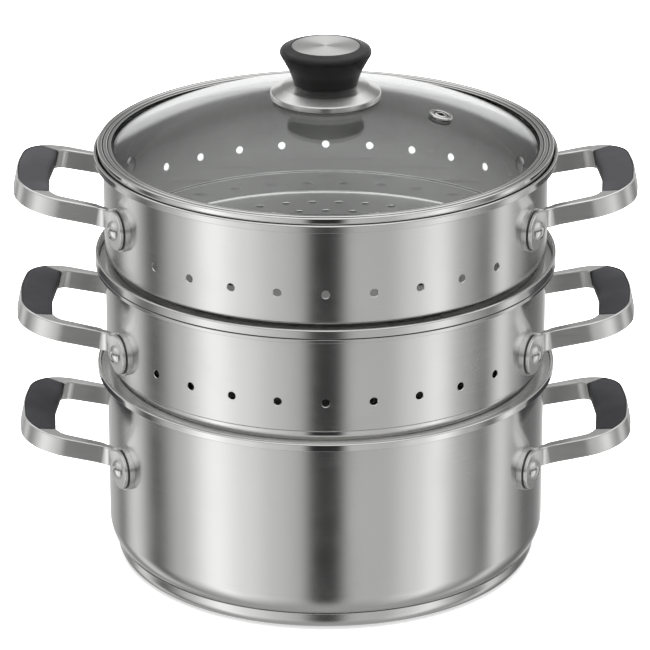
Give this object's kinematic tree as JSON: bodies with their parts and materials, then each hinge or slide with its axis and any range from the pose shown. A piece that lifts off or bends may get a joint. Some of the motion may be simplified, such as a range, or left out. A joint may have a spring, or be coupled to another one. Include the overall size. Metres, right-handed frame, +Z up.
{
  "type": "steamer pot",
  "caption": "Stock pot with stacked perforated steamer tiers, riveted loop handles with dark grips, and a domed glass lid with steam vent and knob.",
  "frame": {"origin": "middle of the underside of the base, where the pot rests", "axes": "+Z up along the axis of the pot, +X towards the right-hand handles, -Y the front"},
  "size_m": [0.3956, 0.2938, 0.3408],
  "materials": {
    "vessel_steel": "fine brushed, round the wall",
    "base_steel": "fine brushed",
    "core_aluminium": "plain, hidden",
    "handle_steel": "satin cast steel",
    "grip_plastic": "fine matte, dark grey",
    "rivet_steel": "polished",
    "lid_glass": "clear tempered",
    "lid_steel": "polished",
    "seal_silicone": "matte black",
    "vent_steel": "polished",
    "knob_steel": "polished",
    "inlay_steel": "spun, rings about the middle",
    "knob_plastic": "satin black"
  },
  "bodies": {
    "pot": {"pot_body": "vessel_steel", "pot_base_core": "core_aluminium", "pot_base_cap": "base_steel", "pot_handle_left": "handle_steel", "pot_grip_left": "grip_plastic", "pot_foot_plates_left": "handle_steel", "pot_rivets_left": "rivet_steel", "pot_handle_right": "handle_steel", "pot_grip_right": "grip_plastic", "pot_foot_plates_right": "handle_steel", "pot_rivets_right": "rivet_steel"},
    "lower_tier": {"lower_tier_body": "vessel_steel", "lower_tier_handle_left": "handle_steel", "lower_tier_grip_left": "grip_plastic", "lower_tier_foot_plates_left": "handle_steel", "lower_tier_rivets_left": "rivet_steel", "lower_tier_handle_right": "handle_steel", "lower_tier_grip_right": "grip_plastic", "lower_tier_foot_plates_right": "handle_steel", "lower_tier_rivets_right": "rivet_steel"},
    "upper_tier": {"upper_tier_body": "vessel_steel", "upper_tier_handle_left": "handle_steel", "upper_tier_grip_left": "grip_plastic", "upper_tier_foot_plates_left": "handle_steel", "upper_tier_rivets_left": "rivet_steel", "upper_tier_handle_right": "handle_steel", "upper_tier_grip_right": "grip_plastic", "upper_tier_foot_plates_right": "handle_steel", "upper_tier_rivets_right": "rivet_steel"},
    "lid": {"lid_glass": "lid_glass", "lid_rim": "lid_steel", "lid_rim_seal": "seal_silicone", "vent_grommet": "vent_steel", "vent_seal": "seal_silicone", "knob_flange": "knob_steel", "knob_body": "knob_plastic", "knob_inlay": "inlay_steel", "knob_screw": "rivet_steel", "knob_washer": "rivet_steel", "knob_seal_top": "seal_silicone", "knob_seal_bottom": "seal_silicone"}
  },
  "joints": [
    {"name": "lower_tier_lift", "type": "slide", "parent": "pot", "child": "lower_tier", "axis": [0, 0, 1], "range_m": [0, 0.1]},
    {"name": "upper_tier_lift", "type": "slide", "parent": "lower_tier", "child": "upper_tier", "axis": [0, 0, 1], "range_m": [0, 0.1]},
    {"name": "lid_lift", "type": "slide", "parent": "upper_tier", "child": "lid", "axis": [0, 0, 1], "range_m": [0, 0.12]}
  ]
}
